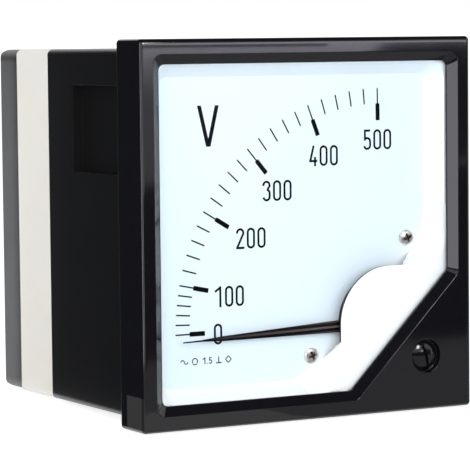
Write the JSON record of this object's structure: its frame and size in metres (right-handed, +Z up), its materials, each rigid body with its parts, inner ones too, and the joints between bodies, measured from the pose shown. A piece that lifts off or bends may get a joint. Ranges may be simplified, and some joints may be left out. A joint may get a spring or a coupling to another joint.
{
  "type": "analog panel meter",
  "caption": "Square panel voltmeter with a bevelled black bezel, a pale dial with a corner-pivoted pointer, a slotted zero adjuster and two rear terminal studs.",
  "frame": {"origin": "centre of the panel plane, which is the plane of the bezel's back face that lies against the panel", "axes": "+X to the right seen from the front, +Y from the dial back into the panel, +Z up"},
  "size_m": [0.08, 0.0838, 0.08],
  "materials": {
    "front_bezel": "glossy moulded, polished bevel",
    "window_pane": "clear sheet",
    "dial_surround": "satin white moulding",
    "dial_plate": "pale painted",
    "scale_marks": "printed ink",
    "scale_figures": "printed ink",
    "unit_letter": "printed ink",
    "dial_symbols": "printed ink",
    "dial_screws": "bright nickel",
    "dial_carrier": "moulded",
    "front_housing": "glossy moulded",
    "middle_ring": "satin moulded",
    "rear_cover": "glossy moulded",
    "case_screws": "zinc plated",
    "zero_adjuster": "glossy moulded",
    "adjuster_clip": "plain",
    "zero_lever": "stamped",
    "pointer": "black painted",
    "pointer_hub": "stamped",
    "balance_weights": "turned",
    "coil_former": "folded",
    "coil_winding": "enamelled copper wire",
    "front_pivot": "polished",
    "rear_pivot": "polished",
    "front_hairspring": "phosphor bronze",
    "rear_hairspring": "phosphor bronze",
    "front_jewel_screw": "turned",
    "rear_jewel_screw": "turned",
    "jewels": "synthetic ruby",
    "lock_nuts": "turned",
    "front_bridge": "stamped",
    "rear_bridge": "phenolic",
    "bridge_spacers": "turned",
    "bridge_screws": "zinc plated",
    "iron_core": "soft iron",
    "core_bracket": "milled",
    "core_screw": "zinc plated",
    "magnet": "cast alnico",
    "upper_pole_piece": "soft iron",
    "lower_pole_piece": "soft iron",
    "movement_screws": "zinc plated",
    "pointer_stops": "blackened wire",
    "spring_tag": "stamped",
    "circuit_board": "phenolic paper board",
    "range_resistors": "lacquered",
    "rectifier_diodes": "moulded",
    "smoothing_capacitor": "dipped",
    "terminal_studs": "turned",
    "terminal_nuts": "turned",
    "terminal_washers": "stamped",
    "red_lead": "insulated wire",
    "black_lead": "insulated wire"
  },
  "bodies": {
    "case": {"front_bezel": "front_bezel", "window_pane": "window_pane", "dial_surround": "dial_surround", "dial_plate": "dial_plate", "scale_marks": "scale_marks", "scale_figures": "scale_figures", "unit_letter": "unit_letter", "dial_symbols": "dial_symbols", "dial_screws": "dial_screws", "dial_carrier": "dial_carrier", "front_housing": "front_housing", "middle_ring": "middle_ring", "rear_cover": "rear_cover", "case_screws": "case_screws", "rear_hairspring": "rear_hairspring", "front_jewel_screw": "front_jewel_screw", "rear_jewel_screw": "rear_jewel_screw", "jewels": "jewels", "lock_nuts": "lock_nuts", "front_bridge": "front_bridge", "rear_bridge": "rear_bridge", "bridge_spacers": "bridge_spacers", "bridge_screws": "bridge_screws", "iron_core": "iron_core", "core_bracket": "core_bracket", "core_screw": "core_screw", "magnet": "magnet", "upper_pole_piece": "upper_pole_piece", "lower_pole_piece": "lower_pole_piece", "movement_screws": "movement_screws", "pointer_stops": "pointer_stops", "spring_tag": "spring_tag", "circuit_board": "circuit_board", "range_resistors": "range_resistors", "rectifier_diodes": "rectifier_diodes", "smoothing_capacitor": "smoothing_capacitor", "terminal_studs": "terminal_studs", "terminal_nuts": "terminal_nuts", "terminal_washers": "terminal_washers", "red_lead": "red_lead", "black_lead": "black_lead"},
    "pointer_movement": {"pointer": "pointer", "pointer_hub": "pointer_hub", "balance_weights": "balance_weights", "coil_former": "coil_former", "coil_winding": "coil_winding", "front_pivot": "front_pivot", "rear_pivot": "rear_pivot"},
    "zero_lever": {"zero_lever": "zero_lever", "front_hairspring": "front_hairspring"},
    "zero_adjuster": {"zero_adjuster": "zero_adjuster", "adjuster_clip": "adjuster_clip"}
  },
  "joints": [
    {"name": "pointer_swing", "type": "hinge", "parent": "case", "child": "pointer_movement", "pos_m": [0.02097, 0, -0.02097], "axis": [0, 1, 0], "range_deg": [-2, 92.5], "stiffness_Nm_per_rad": 0.00012, "deforming": ["front_hairspring", "rear_hairspring"]},
    {"name": "adjuster_turn", "type": "hinge", "parent": "case", "child": "zero_adjuster", "pos_m": [0.0284, 0, -0.0284], "axis": [0, 1, 0], "range_deg": [-30, 30]},
    {"name": "zero_lever_tilt", "type": "hinge", "parent": "case", "child": "zero_lever", "pos_m": [0.02097, 0, -0.02097], "axis": [0, 1, 0], "range_deg": [-4, 4]}
  ],
  "couplings": [
    {"joint": "zero_lever_tilt", "follows": "adjuster_turn", "ratio": -0.12893}
  ]
}
